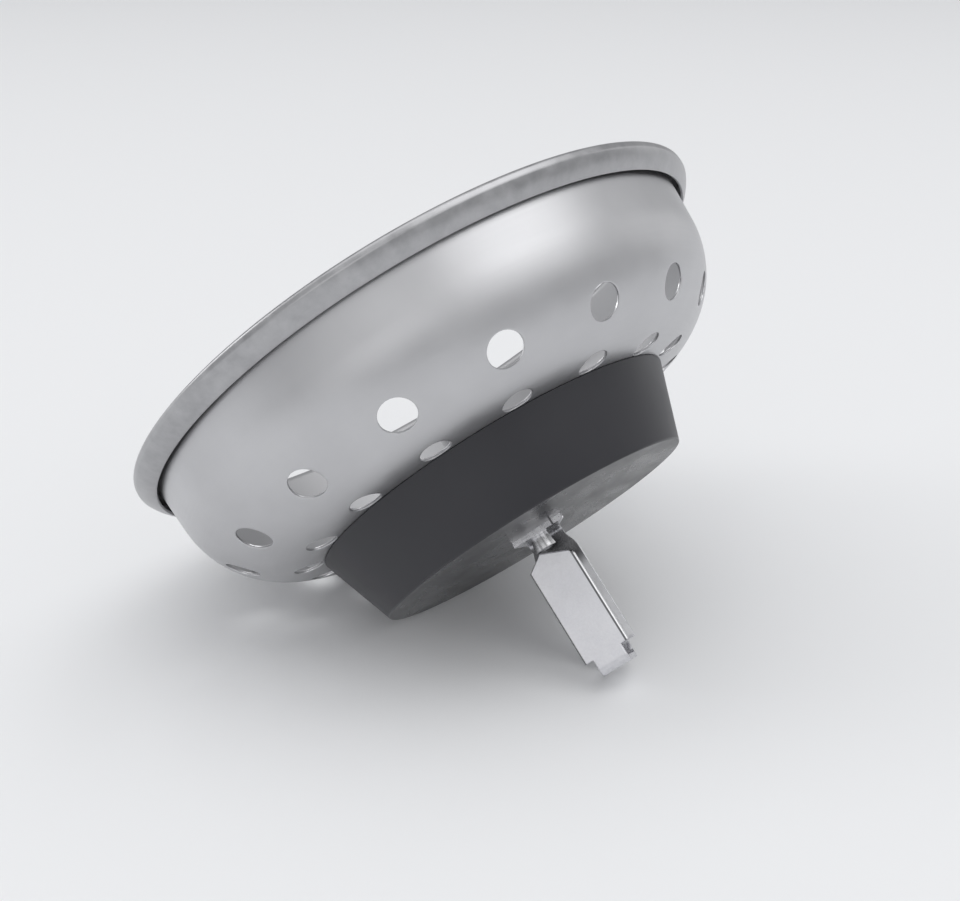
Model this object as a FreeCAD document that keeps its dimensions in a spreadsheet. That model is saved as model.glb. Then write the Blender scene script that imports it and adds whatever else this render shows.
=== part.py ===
"""Sink basket strainer: a perforated basket, a pull post with its knob, a rubber stopper and a spring clip.

Millimetres. The origin is on the axis, at the middle of the cylindrical land round the rim. +Z points up
out of the drain and the clip's spring leaf faces -Y.
"""

import FreeCAD, Part
import Sketcher
import math
import os
from types import SimpleNamespace

# Driving dimensions: name, value, meaning
DRIVING_SIZES = [
    ("rim_radius", 41.25, "outside of the rim, at its land"),
    ("rim_land", 0.3, "height of the rim's cylindrical land"),
    ("rim_nose", 0.5, "rounding between the rim's top and its land"),
    ("bend_radius", 0.7, "outside radius of the bend under the rim's land"),
    ("bend_angle", 28, "degrees turned in that bend"),
    ("skirt_radius", 5.65, "outside radius of the rolled skirt below the bend"),
    ("skirt_angle", 54, "degrees turned in by the skirt at its free edge"),
    ("sheet", 0.4, "thickness of the basket's sheet"),
    ("root_radius", 0.6, "bend radius where the wall turns out to the rim"),
    ("rim_reach", 2.85, "from the outside of the corner's round to the outside of the rim"),
    ("wall_lean", 4.5, "degrees by which the wall leans out towards the rim"),
    ("wall_depth", 6.4, "from the rim's top to the middle of the corner's round"),
    ("corner_radius", 13.4, "outside radius of the corner from wall to floor"),
    ("hole_count", 16, "holes in each ring"),
    ("upper_hole_diameter", 4.45, "holes of the upper ring"),
    ("upper_hole_angle", 43.7, "degrees of the upper ring below the level of the corner's centre"),
    ("lower_hole_diameter", 3.9, "holes of the lower ring"),
    ("lower_hole_angle", 80, "degrees of the lower ring below the level of the corner's centre"),
    ("stopper_top_radius", 25.35, "rubber stopper at the basket's floor, without its rounding"),
    ("stopper_bottom_radius", 21.7, "rubber stopper at its lower face, without its rounding"),
    ("stopper_height", 10.2, "thickness of the rubber stopper"),
    ("stopper_edge", 0.4, "rounding of the stopper's lower edge"),
    ("stopper_top_edge", 0.15, "rounding of the stopper's upper edge"),
    ("spigot_diameter", 2.5, "thin end of the post, through floor, rubber and clip"),
    ("spigot_clearance", 0.05, "radial room of the spigot in its holes"),
    ("tail_diameter", 3.0, "flared end of the spigot"),
    ("tail_length", 1.9, "spigot below the clip's plate"),
    ("tail_dish", 0.6, "depth of the dish in the spigot's end"),
    ("tail_lip", 0.3, "width of the lip round that dish"),
    ("foot_diameter", 12.0, "foot of the post, on the floor"),
    ("foot_height", 1.0, "thickness of the post's foot"),
    ("foot_fillet", 1.2, "hollow fillet from the foot to the stem"),
    ("stem_diameter", 8.8, "stem of the post"),
    ("stem_height", 15.2, "from the floor to the knob's underside"),
    ("peg_diameter", 5.0, "peg of the post, pressed into the knob"),
    ("peg_length", 2.2, "length of that peg"),
    ("peg_room", 0.2, "space above the peg in the knob"),
    ("peg_clearance", 0.02, "radial room of the peg in the knob"),
    ("knob_diameter", 15.0, "knob"),
    ("knob_edge", 0.8, "rounding of the knob's lower edge"),
    ("knob_side", 1.2, "straight side of the knob"),
    ("knob_dome", 1.8, "rise of the knob's domed top"),
    ("strip", 0.7, "thickness of the clip's strip"),
    ("strip_width", 6.35, "width of the clip's legs"),
    ("neck_width", 5.0, "width where the plate bends down to the back leg"),
    ("tongue_width", 4.1, "width of the clip's lower end"),
    ("plate_left", 3.0, "from the axis to the left end of the plate's front edge"),
    ("plate_right", 4.6, "from the axis to the right end of the plate's front edge"),
    ("plate_front", 3.2, "from the axis to the plate's front edge"),
    ("plate_taper_end", 2.2, "from the axis back to the end of the plate's taper"),
    ("leaf_front", 2.4, "from the axis to the front of the spring leaf"),
    ("leg_back", 4.4, "from the axis to the back of the back leg"),
    ("neck_bend", 0.8, "inside radius of the bend at the neck"),
    ("fold_bend", 0.5, "inside radius of the bends at the lower end"),
    ("fold_gap", 0.05, "slit between the leaf's bend and the clip's lower end"),
    ("clip_length", 20.1, "from the stopper's lower face to the clip's lower end"),
    ("step_depth", 17.75, "from the stopper's lower face to the steps above the tongue"),
    ("neck_depth", 1.9, "from the stopper's lower face to the end of the neck"),
    ("shoulder_depth", 3.75, "from the stopper's lower face to the back leg's shoulders"),
    ("peak_depth", 2.9, "from the stopper's lower face to the peak of the spring leaf"),
    ("peak_offset", 0.78, "from the middle of the spring leaf to its peak"),
    ("leaf_left_depth", 4.5, "from the stopper's lower face to the leaf's left shoulder"),
    ("leaf_right_depth", 4.6, "from the stopper's lower face to the leaf's right shoulder"),
    ("leaf_right_round", 1.0, "rounding of the leaf's right shoulder"),
    ("leaf_round", 0.3, "rounding of the leaf's peak and left shoulder"),
]


class Size:
    """A number together with the formula on the sheet that it comes from."""

    def __init__(self, value, formula):
        self.value = value
        self.formula = formula

    def joined(self, sign, other, value):
        return Size(value, f"({self.formula} {sign} {other.formula})")

    def __add__(self, other):
        other = as_size(other)
        return self.joined("+", other, self.value + other.value)

    def __sub__(self, other):
        other = as_size(other)
        return self.joined("-", other, self.value - other.value)

    def __mul__(self, other):
        other = as_size(other)
        return self.joined("*", other, self.value * other.value)

    def __truediv__(self, other):
        other = as_size(other)
        return self.joined("/", other, self.value / other.value)

    def __neg__(self):
        return Size(-self.value, f"(0 - {self.formula})")


def as_size(item):
    return item if isinstance(item, Size) else Size(item, str(item))


def sine(angle):
    return Size(math.sin(math.radians(angle.value)), f"sin({angle.formula})")


def cosine(angle):
    return Size(math.cos(math.radians(angle.value)), f"cos({angle.formula})")


def make_sheet(doc):
    """Writes the driving dimensions to a sheet and returns them by name."""
    sheet = doc.addObject("Spreadsheet::Sheet", "Sizes")
    for row, (name, value, meaning) in enumerate(DRIVING_SIZES, start=1):
        sheet.set(f"A{row}", name)
        sheet.set(f"B{row}", str(value))
        sheet.setAlias(f"B{row}", name)
        sheet.set(f"C{row}", meaning)
    doc.recompute()
    return SimpleNamespace(**{name: Size(value, f"Sizes.{name}") for name, value, _ in DRIVING_SIZES})


def bind(item, prop, size):
    item.setExpression(prop, as_size(size).formula)


def origin_item(body, role):
    return next(item for item in body.Origin.OriginFeatures if item.Role == role)


def new_body(doc, name):
    body = doc.addObject("PartDesign::Body", name)
    body.Label = name
    return body


def new_sketch(body, name, role, offset=None):
    """A sketch on one of the body's origin planes, moved along the plane's normal by offset."""
    sketch = body.newObject("Sketcher::SketchObject", name)
    sketch.AttachmentSupport = [(origin_item(body, role), "")]
    sketch.MapMode = "FlatFace"
    if offset is not None:
        bind(sketch, "AttachmentOffset.Base.z", offset)
    return sketch


def line_to(x, y):
    return SimpleNamespace(x=as_size(x), y=as_size(y), radius=None, left=False)


def arc_to(x, y, radius, left):
    """An arc of less than half a circle whose centre lies on the left or right of the way it is drawn."""
    return SimpleNamespace(x=as_size(x), y=as_size(y), radius=as_size(radius), left=left)


def arc_geometry(start, end, radius, left):
    chord = end - start
    across = FreeCAD.Vector(-chord.y, chord.x, 0).normalize()
    height = math.sqrt(max(radius**2 - (chord.Length / 2) ** 2, 0))
    centre = (start + end) / 2 + across * (height if left else -height)
    circle = Part.Circle(centre, FreeCAD.Vector(0, 0, 1), radius)
    first, last = (start, end) if left else (end, start)
    angle_first = math.atan2(first.y - centre.y, first.x - centre.x)
    angle_last = math.atan2(last.y - centre.y, last.x - centre.x)
    if angle_last <= angle_first:
        angle_last += 2 * math.pi
    return Part.ArcOfCircle(circle, angle_first, angle_last)


def drive(sketch, constraint, name, size):
    """Adds a constraint and ties its value to the sheet."""
    index = sketch.addConstraint(constraint)
    sketch.renameConstraint(index, name)
    bind(sketch, f"Constraints.{name}", size)


def draw_outline(sketch, steps):
    """Draws a closed outline through the steps' points, the last joined to the first, all fully constrained."""
    points = [FreeCAD.Vector(step.x.value, step.y.value, 0) for step in steps]
    starts, ends = [], []
    for number, step in enumerate(steps):
        before, here = points[number - 1], points[number]
        if step.radius is None:
            index = sketch.addGeometry(Part.LineSegment(before, here), False)
        else:
            index = sketch.addGeometry(arc_geometry(before, here, step.radius.value, step.left), False)
        runs_forward = step.radius is None or step.left
        starts.append((index, 1 if runs_forward else 2))
        ends.append((index, 2 if runs_forward else 1))
    for number, step in enumerate(steps):
        following = (number + 1) % len(steps)
        sketch.addConstraint(Sketcher.Constraint("Coincident", *ends[number], *starts[following]))
        across = Sketcher.Constraint("DistanceX", -1, 1, *ends[number], step.x.value)
        drive(sketch, across, f"across_{number}", step.x)
        upward = Sketcher.Constraint("DistanceY", -1, 1, *ends[number], step.y.value)
        drive(sketch, upward, f"upward_{number}", step.y)
        if step.radius is not None:
            bend = Sketcher.Constraint("Radius", ends[number][0], step.radius.value)
            drive(sketch, bend, f"bend_{number}", step.radius)


def draw_circle(sketch, diameter, name):
    """Draws a circle round the sketch's origin."""
    circle = Part.Circle(FreeCAD.Vector(0, 0, 0), FreeCAD.Vector(0, 0, 1), diameter.value / 2)
    index = sketch.addGeometry(circle, False)
    sketch.addConstraint(Sketcher.Constraint("Coincident", index, 3, -1, 1))
    drive(sketch, Sketcher.Constraint("Diameter", index, diameter.value), name, diameter)


def revolve(body, name, steps):
    """Turns an outline in the XZ plane round the Z axis."""
    sketch = new_sketch(body, f"{name}_section", "XZ_Plane")
    draw_outline(sketch, steps)
    feature = body.newObject("PartDesign::Revolution", name)
    feature.Profile = sketch
    feature.ReferenceAxis = (sketch, ["V_Axis"])
    feature.Angle = 360
    sketch.Visibility = False
    return feature


def pad(body, name, sketch, length, symmetric=False):
    feature = body.newObject("PartDesign::Pad", name)
    feature.Profile = sketch
    bind(feature, "Length", length)
    if symmetric:
        feature.SideType = "Symmetric"
    sketch.Visibility = False
    return feature


def levels(size):
    """The corner's reach from the axis, and heights from the rim's top down to the clip's lower end."""
    rim_top = size.rim_land / 2 + size.rim_nose
    corner_level = rim_top - size.wall_depth
    floor_outside = corner_level - size.corner_radius
    stopper_bottom = floor_outside - size.stopper_height
    return SimpleNamespace(
        corner_reach=size.rim_radius - size.rim_reach,
        rim_top=rim_top,
        corner=corner_level,
        floor_outside=floor_outside,
        floor_inside=floor_outside + size.sheet,
        stopper_bottom=stopper_bottom,
        plate_bottom=stopper_bottom - size.strip,
        clip_bottom=stopper_bottom - size.clip_length,
        step=stopper_bottom - size.step_depth,
    )


def basket_outline(size, level):
    """Section of the pressed sheet, from the hole in the floor out to the skirt's free edge and back."""
    sheet = size.sheet
    hole = size.spigot_diameter / 2 + size.spigot_clearance
    corner_across = level.corner_reach - size.corner_radius
    lean_out, lean_up = sine(size.wall_lean), cosine(size.wall_lean)
    root_level = level.rim_top - sheet - size.root_radius
    root_across = (
        corner_across
        + (size.corner_radius + size.root_radius) / lean_up
        + (root_level - level.corner) * lean_out / lean_up
    )

    def wall_foot(radius):
        return corner_across + radius * lean_up, level.corner - radius * lean_out

    def wall_head(radius):
        return root_across - radius * lean_up, root_level + radius * lean_out

    nose_across = size.rim_radius - size.rim_nose
    land_upper = size.rim_land / 2
    land_lower = -land_upper
    bend_across = size.rim_radius - size.bend_radius
    skirt_across = bend_across - (size.skirt_radius - size.bend_radius) * cosine(size.bend_angle)
    skirt_level = land_lower + (size.skirt_radius - size.bend_radius) * sine(size.bend_angle)

    def on_bend(radius):
        return bend_across + radius * cosine(size.bend_angle), land_lower - radius * sine(size.bend_angle)

    def on_edge(radius):
        return skirt_across + radius * cosine(size.skirt_angle), skirt_level - radius * sine(size.skirt_angle)

    bend_inside = size.bend_radius - sheet
    skirt_inside = size.skirt_radius - sheet
    return [
        line_to(hole, level.floor_outside),
        line_to(corner_across, level.floor_outside),
        arc_to(*wall_foot(size.corner_radius), size.corner_radius, left=True),
        line_to(*wall_head(size.root_radius)),
        arc_to(root_across, level.rim_top - sheet, size.root_radius, left=False),
        line_to(nose_across, level.rim_top - sheet),
        arc_to(size.rim_radius - sheet, land_upper, size.rim_nose - sheet, left=False),
        line_to(size.rim_radius - sheet, land_lower),
        arc_to(*on_bend(bend_inside), bend_inside, left=False),
        arc_to(*on_edge(skirt_inside), skirt_inside, left=False),
        line_to(*on_edge(size.skirt_radius)),
        arc_to(*on_bend(size.bend_radius), size.skirt_radius, left=True),
        arc_to(size.rim_radius, land_lower, size.bend_radius, left=True),
        line_to(size.rim_radius, land_upper),
        arc_to(nose_across, level.rim_top, size.rim_nose, left=True),
        line_to(root_across, level.rim_top),
        arc_to(*wall_head(size.root_radius + sheet), size.root_radius + sheet, left=True),
        line_to(*wall_foot(size.corner_radius - sheet)),
        arc_to(corner_across, level.floor_inside, size.corner_radius - sheet, left=False),
        line_to(hole, level.floor_inside),
    ]


def punch_ring(body, name, size, level, diameter, angle):
    """Punches a ring of holes square to the corner, their axes meeting its centre line."""
    # The punch starts this share of the corner's radius away from its centre and ends past the sheet
    start = size.corner_radius * 0.8
    sketch = new_sketch(body, f"{name}_punch", "YZ_Plane")
    tilt = FreeCAD.Rotation(FreeCAD.Vector(1, 0, 0), angle.value)
    sketch.AttachmentOffset = FreeCAD.Placement(FreeCAD.Vector(0, 0, 0), tilt)
    bind(sketch, "AttachmentOffset.Rotation.Angle", angle)
    bind(sketch, "AttachmentOffset.Base.y", level.corner - start * sine(angle))
    bind(sketch, "AttachmentOffset.Base.z", level.corner_reach - size.corner_radius + start * cosine(angle))
    draw_circle(sketch, diameter, "hole_diameter")
    pocket = body.newObject("PartDesign::Pocket", name)
    pocket.Profile = sketch
    pocket.Reversed = True
    bind(pocket, "Length", size.corner_radius * 0.4)
    sketch.Visibility = False
    ring = body.newObject("PartDesign::PolarPattern", f"{name}_ring")
    ring.Originals = [pocket]
    ring.Axis = (origin_item(body, "Z_Axis"), [""])
    ring.Angle = 360
    bind(ring, "Occurrences", size.hole_count)
    body.Tip = ring
    return ring


def make_basket(doc, size, level):
    body = new_body(doc, "basket")
    pressing = revolve(body, "pressing", basket_outline(size, level))
    doc.recompute()
    upper = punch_ring(body, "upper_hole", size, level, size.upper_hole_diameter, size.upper_hole_angle)
    doc.recompute()
    lower = punch_ring(body, "lower_hole", size, level, size.lower_hole_diameter, size.lower_hole_angle)
    doc.recompute()
    if not pressing.Shape.Volume > upper.Shape.Volume > lower.Shape.Volume:
        raise RuntimeError("a ring of holes was not punched")
    return body


def edges_at_radius(shape, radius):
    """Names of the circular edges of one radius."""
    names = []
    for number, edge in enumerate(shape.Edges, start=1):
        if isinstance(edge.Curve, Part.Circle) and abs(edge.Curve.Radius - radius) < 1e-6:
            names.append(f"Edge{number}")
    return names


def round_edge(body, name, base, edge_radius, rounding_radius):
    """Rounds the circular edges of one radius."""
    rounding = body.newObject("PartDesign::Fillet", name)
    rounding.Base = (base, edges_at_radius(base.Shape, edge_radius.value))
    bind(rounding, "Radius", rounding_radius)
    return rounding


def make_stopper(doc, size, level):
    body = new_body(doc, "stopper")
    hole = size.spigot_diameter / 2 + size.spigot_clearance
    cone = revolve(body, "cone", [
        line_to(hole, level.stopper_bottom),
        line_to(size.stopper_bottom_radius, level.stopper_bottom),
        line_to(size.stopper_top_radius, level.floor_outside),
        line_to(hole, level.floor_outside),
    ])
    doc.recompute()
    lower = round_edge(body, "lower_rounding", cone, size.stopper_bottom_radius, size.stopper_edge)
    doc.recompute()
    round_edge(body, "upper_rounding", lower, size.stopper_top_radius, size.stopper_top_edge)
    return body


def make_post(doc, size, level):
    """Stem and foot above the floor, spigot through the stack, and the flared tail under the clip's plate."""
    body = new_body(doc, "post")
    spigot = size.spigot_diameter / 2
    tail = size.tail_diameter / 2
    tail_end = level.plate_bottom - size.tail_length
    foot = size.foot_diameter / 2
    foot_top = level.floor_inside + size.foot_height
    stem = size.stem_diameter / 2
    stem_top = level.floor_inside + size.stem_height
    peg = size.peg_diameter / 2
    revolve(body, "turning", [
        line_to(0, tail_end + size.tail_dish),
        line_to(tail - size.tail_lip, tail_end),
        line_to(tail, tail_end),
        line_to(spigot, level.plate_bottom),
        line_to(spigot, level.floor_inside),
        line_to(foot, level.floor_inside),
        line_to(foot, foot_top),
        line_to(stem + size.foot_fillet, foot_top),
        arc_to(stem, foot_top + size.foot_fillet, size.foot_fillet, left=False),
        line_to(stem, stem_top),
        line_to(peg, stem_top),
        line_to(peg, stem_top + size.peg_length),
        line_to(0, stem_top + size.peg_length),
    ])
    return body


def make_knob(doc, size, level):
    body = new_body(doc, "knob")
    under = level.floor_inside + size.stem_height
    knob = size.knob_diameter / 2
    socket = size.peg_diameter / 2 + size.peg_clearance
    socket_top = under + size.peg_length + size.peg_room
    side_bottom = under + size.knob_edge
    side_top = side_bottom + size.knob_side
    dome_radius = (knob * knob + size.knob_dome * size.knob_dome) / (size.knob_dome * 2)
    revolve(body, "mushroom", [
        line_to(socket, under),
        line_to(knob - size.knob_edge, under),
        arc_to(knob, side_bottom, size.knob_edge, left=True),
        line_to(knob, side_top),
        arc_to(0, side_top + size.knob_dome, dome_radius, left=True),
        line_to(0, socket_top),
        line_to(socket, socket_top),
    ])
    return body


def make_clip(doc, size, level):
    """Plate under the rubber, neck, back leg and lower end, bent from one strip."""
    body = new_body(doc, "clip")
    neck = size.neck_width / 2
    leg = size.strip_width / 2
    tongue = size.tongue_width / 2
    neck_outside = size.neck_bend + size.strip
    fold_outside = size.fold_bend + size.strip
    back_inside = size.leg_back - size.strip
    bend_start = size.leg_back - neck_outside
    neck_end = level.stopper_bottom - size.neck_depth
    shoulder = level.stopper_bottom - size.shoulder_depth
    slit = -size.leaf_front + fold_outside + size.fold_gap
    fold_level = level.clip_bottom + fold_outside
    floor_top = level.clip_bottom + size.strip

    plate_sketch = new_sketch(body, "plate_outline", "XY_Plane", level.plate_bottom)
    draw_outline(plate_sketch, [
        line_to(-size.plate_left, -size.plate_front),
        line_to(size.plate_right, -size.plate_front),
        line_to(neck, size.plate_taper_end),
        line_to(neck, bend_start),
        line_to(-neck, bend_start),
        line_to(-neck, size.plate_taper_end),
    ])
    draw_circle(plate_sketch, size.spigot_diameter + size.spigot_clearance * 2, "rivet_hole")
    pad(body, "plate", plate_sketch, size.strip)

    neck_sketch = new_sketch(body, "neck_section", "YZ_Plane")
    draw_outline(neck_sketch, [
        line_to(bend_start, level.plate_bottom),
        arc_to(back_inside, level.plate_bottom - size.neck_bend, size.neck_bend, left=False),
        line_to(back_inside, neck_end),
        line_to(size.leg_back, neck_end),
        line_to(size.leg_back, level.stopper_bottom - neck_outside),
        arc_to(bend_start, level.stopper_bottom, neck_outside, left=True),
    ])
    pad(body, "neck", neck_sketch, size.neck_width, symmetric=True)

    leg_sketch = new_sketch(body, "leg_outline", "XZ_Plane", -size.leg_back)
    draw_outline(leg_sketch, [
        line_to(-neck, neck_end),
        line_to(-leg, shoulder),
        line_to(-leg, level.step),
        line_to(leg, level.step),
        line_to(leg, shoulder),
        line_to(neck, neck_end),
    ])
    pad(body, "back_leg", leg_sketch, size.strip)

    tongue_sketch = new_sketch(body, "tongue_section", "YZ_Plane")
    draw_outline(tongue_sketch, [
        line_to(slit, level.clip_bottom),
        line_to(size.leg_back - fold_outside, level.clip_bottom),
        arc_to(size.leg_back, fold_level, fold_outside, left=True),
        line_to(size.leg_back, level.step),
        line_to(back_inside, level.step),
        line_to(back_inside, fold_level),
        arc_to(size.leg_back - fold_outside, floor_top, size.fold_bend, left=False),
        line_to(slit, floor_top),
    ])
    pad(body, "tongue", tongue_sketch, tongue * 2, symmetric=True)
    return body


def round_corners(body, name, base, corners, radius):
    """Rounds the edges that run through the strip's thickness at the given places across and up."""
    places = [(across.value, upward.value) for across, upward in corners]
    names = []
    for number, edge in enumerate(base.Shape.Edges, start=1):
        ends = [vertex.Point for vertex in edge.Vertexes]
        for across, upward in places:
            if all(math.hypot(end.x - across, end.z - upward) < 1e-6 for end in ends):
                names.append(f"Edge{number}")
    rounding = body.newObject("PartDesign::Fillet", name)
    rounding.Base = (base, names)
    bind(rounding, "Radius", radius)
    return rounding


def make_clip_leaf(doc, size, level):
    """Spring leaf: the front bend of the same strip and the leaf above it, cut to a point at its free end."""
    body = new_body(doc, "clip_leaf")
    leaf = size.strip_width / 2
    fold_outside = size.fold_bend + size.strip
    leaf_inside = size.strip - size.leaf_front
    fold_start = fold_outside - size.leaf_front
    fold_level = level.clip_bottom + fold_outside

    fold_sketch = new_sketch(body, "fold_section", "YZ_Plane")
    draw_outline(fold_sketch, [
        arc_to(fold_start, level.clip_bottom, fold_outside, left=True),
        line_to(fold_start, level.clip_bottom + size.strip),
        arc_to(leaf_inside, fold_level, size.fold_bend, left=False),
        line_to(leaf_inside, level.step),
        line_to(-size.leaf_front, level.step),
        line_to(-size.leaf_front, fold_level),
    ])
    pad(body, "fold", fold_sketch, size.tongue_width, symmetric=True)

    right_shoulder = (leaf, level.stopper_bottom - size.leaf_right_depth)
    peak = (-size.peak_offset, level.stopper_bottom - size.peak_depth)
    left_shoulder = (-leaf, level.stopper_bottom - size.leaf_left_depth)
    leaf_sketch = new_sketch(body, "leaf_outline", "XZ_Plane", size.leaf_front - size.strip)
    draw_outline(leaf_sketch, [
        line_to(-leaf, level.step),
        line_to(leaf, level.step),
        line_to(*right_shoulder),
        line_to(*peak),
        line_to(*left_shoulder),
    ])
    blank = pad(body, "leaf", leaf_sketch, size.strip)
    doc.recompute()
    shoulder = round_corners(body, "shoulder_rounding", blank, [right_shoulder], size.leaf_right_round)
    doc.recompute()
    round_corners(body, "end_rounding", shoulder, [peak, left_shoulder], size.leaf_round)
    return body


def check_document(doc, bodies):
    """Stops if anything in the document failed or a sub-part is not one valid solid."""
    for item in doc.Objects:
        if "Invalid" in item.State or "Error" in item.State:
            raise RuntimeError(f"{item.Label} failed: {item.State}")
    for body in bodies:
        shape = body.Shape
        if shape.isNull() or not shape.isValid() or len(shape.Solids) != 1:
            raise RuntimeError(f"{body.Label} is not one valid solid")


def main():
    doc = FreeCAD.newDocument("sink_strainer")
    size = make_sheet(doc)
    level = levels(size)
    makers = (make_basket, make_stopper, make_post, make_knob, make_clip, make_clip_leaf)
    bodies = [make(doc, size, level) for make in makers]
    doc.recompute()
    check_document(doc, bodies)
    os.makedirs("parts", exist_ok=True)
    for body in bodies:
        body.Shape.exportStep(f"parts/{body.Label}.step")
        print(body.Label, "volume", round(body.Shape.Volume, 2), "mm3")


main()
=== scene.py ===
"""Sink strainer lying on a pale floor.

Its pieces are the basket, the rubber stopper, the pull post with its knob, and the folded spring clip.
"""

import math
from collections import namedtuple

import bmesh
import bpy
from mathutils import Matrix, Vector


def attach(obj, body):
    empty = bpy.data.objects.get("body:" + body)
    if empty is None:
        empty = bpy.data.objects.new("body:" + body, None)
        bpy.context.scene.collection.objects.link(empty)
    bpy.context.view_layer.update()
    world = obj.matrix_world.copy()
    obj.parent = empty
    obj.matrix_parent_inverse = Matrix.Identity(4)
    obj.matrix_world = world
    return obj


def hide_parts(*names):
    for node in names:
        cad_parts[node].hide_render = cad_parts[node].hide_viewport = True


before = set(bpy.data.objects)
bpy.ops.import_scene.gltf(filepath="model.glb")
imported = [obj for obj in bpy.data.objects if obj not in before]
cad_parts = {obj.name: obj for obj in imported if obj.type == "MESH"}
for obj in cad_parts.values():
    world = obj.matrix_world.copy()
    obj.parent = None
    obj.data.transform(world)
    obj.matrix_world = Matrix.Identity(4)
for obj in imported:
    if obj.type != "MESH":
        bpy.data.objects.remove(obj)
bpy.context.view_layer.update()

Ring = namedtuple("Ring", "angle diameter half_height")
SoftBox = namedtuple("SoftBox", "name height turn distance size brightness")

MM = 0.001

# Basket sheet, in millimetres and degrees
RIM_RADIUS = 41.25
RIM_LAND = 0.3
RIM_NOSE = 0.5
BEND_RADIUS = 0.7
BEND_ANGLE = 28.0
SKIRT_RADIUS = 5.65
SKIRT_ANGLE = 54.0
SHEET = 0.4
ROOT_RADIUS = 0.6
CORNER_REACH = 38.4
WALL_LEAN = 4.5
WALL_DEPTH = 6.4
CORNER_RADIUS = 13.4
EDGE_ROUND = 0.09
RIM_TOP = RIM_LAND / 2 + RIM_NOSE
CORNER_LEVEL = RIM_TOP - WALL_DEPTH
CORNER_ACROSS = CORNER_REACH - CORNER_RADIUS
FLOOR_OUTSIDE = CORNER_LEVEL - CORNER_RADIUS
FLOOR_INSIDE = FLOOR_OUTSIDE + SHEET

# Rings of holes: angle below the corner's centre, and half the height of the mesh cell round a hole
HOLES = 16
UPPER_RING = Ring(angle=43.7, diameter=4.45, half_height=14.0)
LOWER_RING = Ring(angle=80.0, diameter=3.9, half_height=9.6)
HALF_SECTOR = math.pi / HOLES

# Mesh round the holes: rows are placed by their share of the way from a cell's border to its hole
SECTOR_STEPS = 16
CELL_STEPS = 12
CELL_SHARES = (0.45, 0.75, 0.92)
EDGE_DEPTHS = (0.3, 1.0)
SEGMENTS = HOLES * SECTOR_STEPS
PUNCH_ROUNDS = 12
KEY_PARTS = 1000
KEY_DIGITS = 7

# Stopper
STOPPER_TOP = 25.35
STOPPER_BOTTOM = 21.7
STOPPER_EDGE = 0.25
STOPPER_TOP_EDGE = 0.15
STOPPER_HEIGHT = 10.2
STOPPER_LEVEL = FLOOR_OUTSIDE - STOPPER_HEIGHT

# Post and knob
SPIGOT = 1.25
SPIGOT_HOLE = 1.3
TAIL = 1.5
TAIL_LIP = 1.2
TAIL_EDGE = 0.1
TAIL_LENGTH = 1.9
TAIL_DISH = 0.6
DISH_MIDDLE = 0.5
DISH_MIDDLE_SHARE = 0.62
FOOT = 6.0
FOOT_HEIGHT = 1.0
FOOT_EDGE = 0.25
FOOT_FILLET = 1.2
STEM = 4.4
STEM_HEIGHT = 15.2
STEM_TOP = FLOOR_INSIDE + STEM_HEIGHT
PEG = 2.5
PEG_LENGTH = 2.2
SOCKET_PLAY = 0.02
SOCKET_ROOM = 0.2
KNOB = 7.5
KNOB_EDGE = 0.8
KNOB_SIDE = 1.2
KNOB_SHOULDER = 0.3
KNOB_DOME = 1.8

# Clip strip
STRIP = 0.7
STRIP_HALF = 3.175
NECK_HALF = 2.5
TONGUE_HALF = 2.05
PLATE_LEFT = 3.0
PLATE_RIGHT = 4.6
PLATE_FRONT = 3.2
PLATE_TAPER_END = 2.2
PLATE_ROUND = 0.15
LEAF_FRONT = 2.4
LEG_BACK = 4.4
NECK_BEND = 0.8
FOLD_BEND = 0.5
FOLD_GAP = 0.05
BEND_STEPS = 10
CLIP_LENGTH = 20.1
STEP_DEPTH = 17.75
STEP_ROUND = 0.15
NECK_DEPTH = 1.9
SHOULDER_DEPTH = 3.75
SHOULDER_ROUND = 0.3
PEAK_DEPTH = 2.9
PEAK_OFFSET = 0.78
LEAF_LEFT_DEPTH = 4.5
LEAF_RIGHT_DEPTH = 4.6
LEAF_RIGHT_ROUND = 1.0
LEAF_ROUND = 0.3
STRIP_EDGE = 0.2
CLIP_BOTTOM = STOPPER_LEVEL - CLIP_LENGTH
PLATE_BOTTOM = STOPPER_LEVEL - STRIP
CLIP_MIDDLE = (STOPPER_LEVEL + CLIP_BOTTOM) / 2

# Meshes: angles past which an edge is kept sharp or eased, and distances that count as none
SMOOTH_ANGLE = math.radians(50)
EASED_ANGLE = math.radians(60)
NORMAL_WEIGHT = 80
ON_AXIS = 1e-9
SAME_PLACE = 1e-6

# Basket and stopper finish, with painted shade inside the bowl and a painted highlight on the hole walls:
# millimetres over which one zone turns into the next
RIM_ZONE = (39.1, 39.5)
INSIDE_ZONE = (-2.0, 2.0)
SHEARED_ZONE = (5.0, 9.0)
CUT_FACE_ZONE = (0.1, 0.3)

# Clip finish, with painted shade lines along both edges and inside the neck, a painted highlight along the
# right edge and painted light on the leg's inner face at the gap: millimetres in from the strip's edge or
# down from the stopper, and how dark its painted shade is
HIGHLIGHT_INSETS = (0.2, 0.12)
RIGHT_LINE_INSETS = (0.44, 0.36)
LEFT_LINE_INSETS = (0.22, 0.14)
BELOW_PLATE_ZONE = (0.9, 1.4)
GAP_ZONE = (4.0, 7.0)
FOLD_FADE = 0.6
INNER_ZONE = (0.5, 1.5)
LINE_DARKNESS = 0.85
NECK_SHADE_DARKNESS = 0.9

# Turned finish: how much smoother and rougher its marks are than the whole
CUT_SMOOTHER = 0.05
CUT_ROUGHER = 0.08

# Noise in the finishes: the part of its range over which a ramp runs, and the least distance from the axis
NOISE_SPAN = (0.3, 0.7)
SPANGLE_SPAN = (0.35, 0.65)
WHOLE_SPAN = (0.0, 1.0)
NEAR_AXIS = 1e-5

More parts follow.
